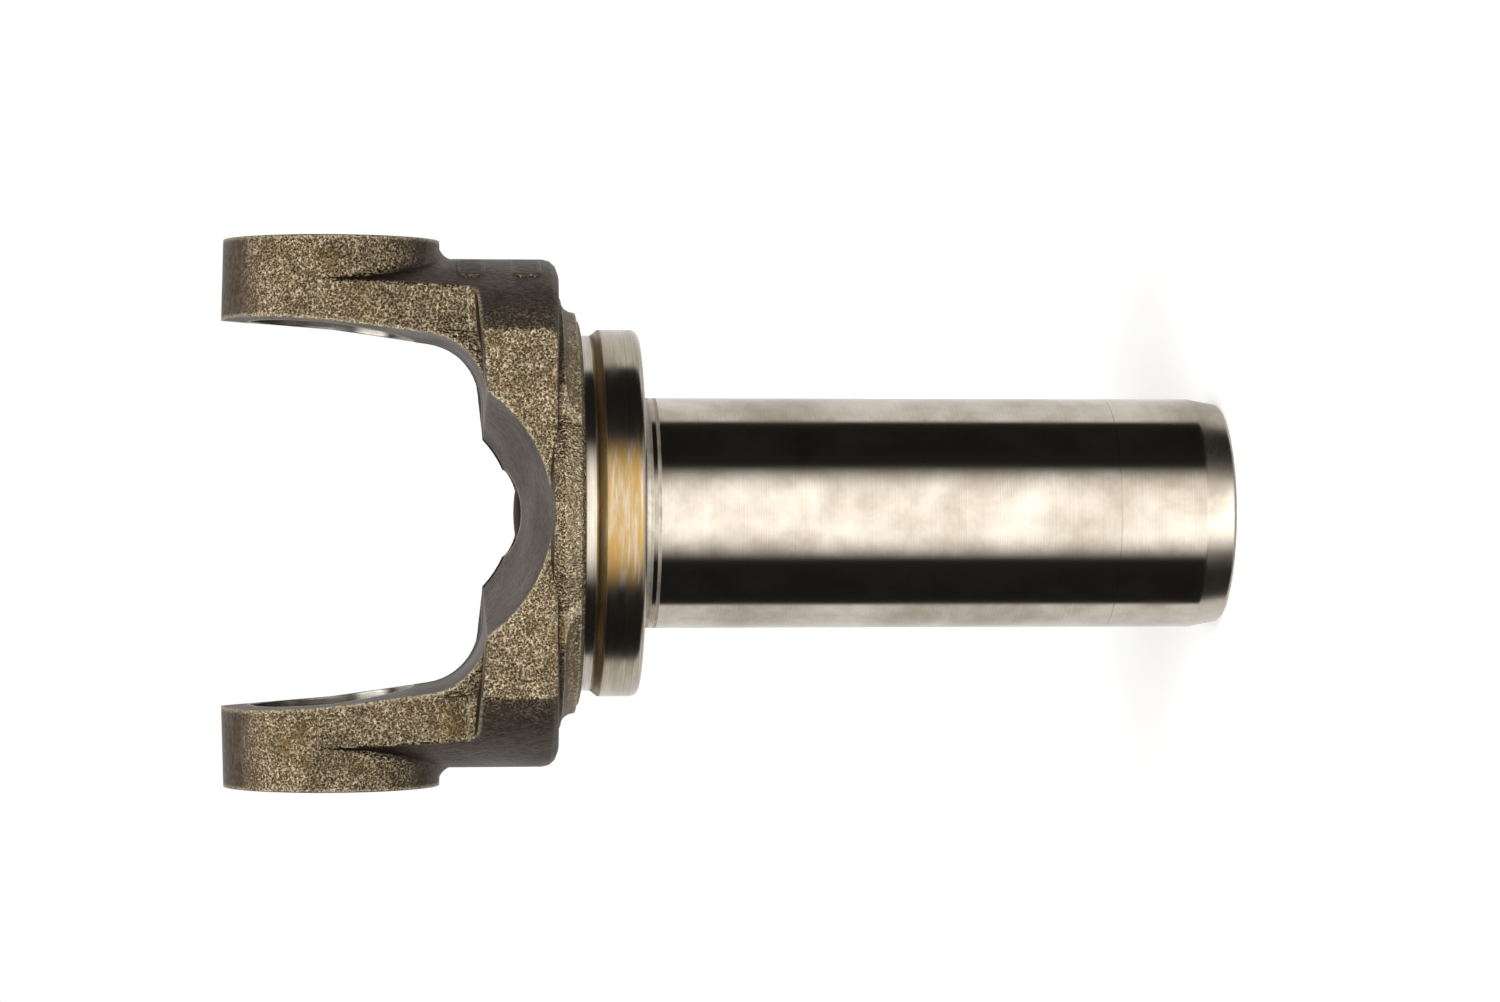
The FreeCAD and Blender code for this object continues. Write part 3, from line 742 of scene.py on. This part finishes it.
@dataclass
class DiePads:
    """Low blank pads that the die leaves on the outside of the fork, a pair on each arm."""

    outer_r: float                       # the fork's outer cylinder, about the shaft axis
    heights: tuple[tuple[float, float], ...] = ((0.1133, 0.1188), (0.1224, 0.1276))
    turn_deg: tuple[float, float] = (-25.5, -9.0)
    proud: float = 0.32 * MM
    sunk: float = 0.15 * MM              # how far the pad's hidden edge lies inside the fork
    squareness: float = 5.0
    rim_share: float = 0.22              # share of the half width that slopes
    steps: int = 36

    def mesh(self) -> bpy.types.Mesh:
        """Builds every pad into one mesh.

        Returns:
            The mesh.
        """
        shape = bmesh.new()
        for half_turn in (0.0, math.pi):
            for low, high in self.heights:
                self.pad(shape, half_turn, low, high)
        mesh = bpy.data.meshes.new("die_pads")
        shape.to_mesh(mesh)
        shape.free()
        mesh.polygons.foreach_set("use_smooth", [True] * len(mesh.polygons))
        return mesh

    def pad(self, shape: bmesh.types.BMesh, half_turn: float, low: float, high: float) -> None:
        """Adds one pad, a rounded square that rises from the fork's cylinder.

        Args:
            shape: The mesh that gets it.
            half_turn: Turn of its arm about the shaft, in radians.
            low: Height of its lower edge above the barrel's end.
            high: Height of its upper edge.
        """
        first, last = (half_turn + math.radians(turn) for turn in self.turn_deg)
        shares = [2 * at / self.steps - 1 for at in range(self.steps + 1)]
        rows = []
        for u in shares:
            turn = (first + last) / 2 + u * (last - first) / 2
            row = []
            for v in shares:
                reach = (abs(u) ** self.squareness + abs(v) ** self.squareness) ** (1 / self.squareness)
                rise = min(max((1 - reach) / self.rim_share, 0.0), 1.0)
                r = self.outer_r - self.sunk + (self.proud + self.sunk) * rise * rise * (3 - 2 * rise)
                z = (low + high) / 2 + v * (high - low) / 2
                row.append(shape.verts.new((r * math.cos(turn), r * math.sin(turn), z)))
            rows.append(row)
        for near, far in zip(rows, rows[1:]):
            for at in range(self.steps):
                shape.faces.new((near[at], far[at], far[at + 1], near[at + 1]))

    def build(self, material: bpy.types.Material) -> bpy.types.Object:
        """Makes the pads, in the forging's own finish.

        Args:
            material: The forging's material.

        Returns:
            The piece.
        """
        piece = bpy.data.objects.new("die_pads", self.mesh())
        bpy.context.scene.collection.objects.link(piece)
        piece.data.materials.append(material)
        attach(piece, "root")
        return piece


@dataclass
class Yoke:
    """The machined forging with its plug and the marks of the die."""

    nodes: dict[str, bpy.types.Object]
    record: dict[str, Any]
    outer_r: float = 41.9 * MM

    def mount(self, name: str) -> dict[str, Any]:
        """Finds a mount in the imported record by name."""
        return next(m for m in self.record["mounts"] if m["name"] == name)

    def build(self) -> list[bpy.types.Object]:
        """Dresses the solids and adds the small pieces.

        Returns:
            Every piece of the object.
        """
        bore, barrel = self.mount("cross_bore"), self.mount("barrel_seal_surface")
        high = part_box("forged_yoke")[1]
        steel = YokeSteel(bore_z_mm=bore["pos_m"][2] / MM, bore_r_mm=bore["dims"]["r_mm"],
                          half_span_mm=high[0] / MM, barrel_r_mm=barrel["dims"]["r_mm"]).build()
        self.dress("forged_yoke", steel)
        self.dress("expansion_plug", PressedSheet().build())
        return [*self.nodes.values(), DiePads(self.outer_r).build(steel)]

    def dress(self, node: str, material: bpy.types.Material) -> None:
        """Puts a material on every slot of a solid.

        Args:
            node: The solid's name.
            material: Its finish.
        """
        slots = self.nodes[node].material_slots
        if not slots:
            self.nodes[node].data.materials.append(material)
        for slot in slots:
            slot.material = material


# ------------------------------------------------------------------------------------ stage, light, camera


@dataclass
class Stage:
    """A plain white floor under the barrel's end, and a white surround."""

    reach: float = 6.0
    near_glow: float = 0.46     # the floor's own part of its white close to the part, where its shadow falls
    far_glow: float = 0.76      # and further off, where less of the lamps' light reaches it
    near: float = 0.08
    far: float = 0.28
    sheet: str = "#f4f3f1"
    sweep_from: float = 0.20    # the white sweep fills the directions beyond this much of +Y
    sweep_to: float = 0.30
    sweep: float = 0.85
    dusk: float = 0.019         # and the rest of the surround is this dark in the part's reflections

    def floor(self) -> bpy.types.Object:
        """Makes the floor and returns it."""
        mesh = bpy.data.meshes.new("floor")
        corners = [(-self.reach, -self.reach, 0), (self.reach, -self.reach, 0),
                   (self.reach, self.reach, 0), (-self.reach, self.reach, 0)]
        mesh.from_pydata(corners, [], [(0, 1, 2, 3)])
        floor = bpy.data.objects.new("floor", mesh)
        bpy.context.scene.collection.objects.link(floor)
        material = bpy.data.materials.new("white_paper_floor")
        material.use_nodes = True
        tree = material.node_tree
        tree.nodes.clear()
        sheet = add(tree, "ShaderNodeBsdfDiffuse", [linear(self.sheet)])
        seen = add(tree, "ShaderNodeLightPath", output="Is Camera Ray")
        spot = add(tree, "ShaderNodeTexCoord", output="Object")
        away = add(tree, VECTOR, [spot], "Value", operation="LENGTH")
        level = add(tree, RAMP, [away, self.near, self.far, self.near_glow, self.far_glow], **SMOOTH)
        glow = add(tree, MATH, [seen, level], operation="MULTIPLY")
        lit = add(tree, "ShaderNodeEmission", {"Color": linear(WHITE), "Strength": glow})
        both = add(tree, "ShaderNodeAddShader", [sheet, lit])
        tree.links.new(both, tree.nodes.new("ShaderNodeOutputMaterial").inputs["Surface"])
        mesh.materials.append(material)
        floor.visible_glossy = False
        floor.visible_shadow = False
        floor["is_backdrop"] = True
        return floor

    def surround(self) -> None:
        """Makes the world: white to look at, a white sweep behind the part and dark round the sides."""
        world = bpy.data.worlds.new("surround")
        bpy.context.scene.world = world
        world.use_nodes = True
        tree = world.node_tree
        tree.nodes.clear()
        way = add(tree, "ShaderNodeTexCoord", output="Generated")
        along = add(tree, "ShaderNodeSeparateXYZ", [way], output="Y")
        rays = add(tree, "ShaderNodeLightPath").node.outputs
        mirrored = add(tree, MATH, [rays["Is Glossy Ray"], rays["Is Transmission Ray"]], operation="MAXIMUM")
        mirrored = add(tree, MATH, [mirrored, rays["Is Diffuse Ray"]], operation="MAXIMUM")
        sweep = add(tree, RAMP, [along, self.sweep_from, self.sweep_to, 0.0, self.sweep], **SMOOTH)
        around = add(tree, MATH, [mirrored, sweep, self.dusk], operation="MULTIPLY_ADD")
        level = add(tree, MIX, {0: rays["Is Camera Ray"], 2: around, 3: 1.0})
        sky = add(tree, "ShaderNodeBackground", {"Color": linear(WHITE), "Strength": level})
        tree.links.new(sky, tree.nodes.new("ShaderNodeOutputWorld").inputs["Surface"])


@dataclass(frozen=True)
class Softbox:
    """A round soft light, brightest in its middle, whose cloth dims smoothly towards its rim."""

    name: str
    place: tuple[float, float, float]      # from the middle of the part
    faces: tuple[float, float, float]
    width: float
    level: float                           # brightness of its middle, where 1 is white
    core: float = 0.5                      # share of its radius that is fully bright

    def build(self, target: Vector) -> bpy.types.Object:
        """Makes the light.

        Args:
            target: The middle of the part.

        Returns:
            The light.
        """
        lamp = bpy.data.lights.new(self.name, "AREA")
        lamp.shape = "SQUARE"
        lamp.size = self.width
        lamp.energy = self.level * math.pi * self.width ** 2
        lamp.use_nodes = True
        tree = lamp.node_tree
        tree.nodes.clear()
        spot = add(tree, "ShaderNodeNewGeometry", output="Parametric")
        off = add(tree, VECTOR, [spot, (0.5, 0.5, 0.0)], "Value", operation="DISTANCE")
        level = add(tree, RAMP, [off, 0.5, 0.5 * self.core], **SMOOTH)
        glow = add(tree, "ShaderNodeEmission", {"Strength": level})
        tree.links.new(glow, tree.nodes.new("ShaderNodeOutputLight").inputs["Surface"])
        light = bpy.data.objects.new(self.name, lamp)
        light.location = target + Vector(self.place)
        light.rotation_mode = "QUATERNION"
        light.rotation_quaternion = Vector(self.faces).to_track_quat("-Z", "Y")
        bpy.context.scene.collection.objects.link(light)
        return light


@dataclass(frozen=True)
class PictureCamera:
    """A long lens square to the parting plane, with the shaft lying across the picture."""

    lens_mm: float = 96.0
    distance: float = 0.6652
    tilt_deg: float = 5.25
    height_share: float = 0.4731     # where it aims, as a share of the part's height
    lift: float = 0.002

    def build(self, low: Vector, high: Vector) -> bpy.types.Object:
        """Makes the camera.

        Args:
            low: Lowest corner of the part.
            high: Highest corner of the part.

        Returns:
            The camera.
        """
        tilt = math.radians(self.tilt_deg)
        back = Vector((0.0, -math.cos(tilt), math.sin(tilt)))
        up = Vector((1.0, 0.0, 0.0))
        right = up.cross(back)
        aim = Vector((self.lift, 0.0, low.z + (high.z - low.z) * self.height_share))
        lens = bpy.data.cameras.new("picture_camera")
        lens.lens = self.lens_mm
        camera = bpy.data.objects.new("picture_camera", lens)
        turn = Matrix((right, up, back)).transposed().to_4x4()
        camera.matrix_world = Matrix.Translation(aim + back * self.distance) @ turn
        bpy.context.scene.collection.objects.link(camera)
        bpy.context.scene.camera = camera
        return camera


def main() -> None:
    """Loads the frame, dresses the yoke and sets up the picture."""
    logging.basicConfig(level=logging.INFO, format="%(name)s: %(message)s")
    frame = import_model()
    cad_box = [list(corner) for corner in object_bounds()]
    low, high = (Vector(corner) for corner in cad_box)
    for piece in Yoke(frame["nodes"], frame["record"]).build():
        LOG.info("piece %s, %d faces", piece.name, len(piece.data.polygons))
    stage = Stage()
    stage.floor()
    stage.surround()
    middle = (low + high) / 2
    lights = (
        Softbox("front_softbox", (0.0, -0.80, -0.22), (0.0, 1.0, 0.0), 1.84, 1.88, 0.25),
        Softbox("fork_softbox", (0.0, -0.45, 0.84), (0.0, 0.47, -0.88), 1.05, 4.2, 0.4),
        Softbox("floor_bounce", (0.0, -0.45, -0.60), (0.0, 0.5, 1.0), 1.40, 1.1, 0.3),
    )
    for light in lights:
        LOG.info("light %s", light.build(middle).name)
    PictureCamera().build(low, high)
    bpy.context.scene.view_settings.view_transform = "Standard"


if __name__ == "__main__":
    main()
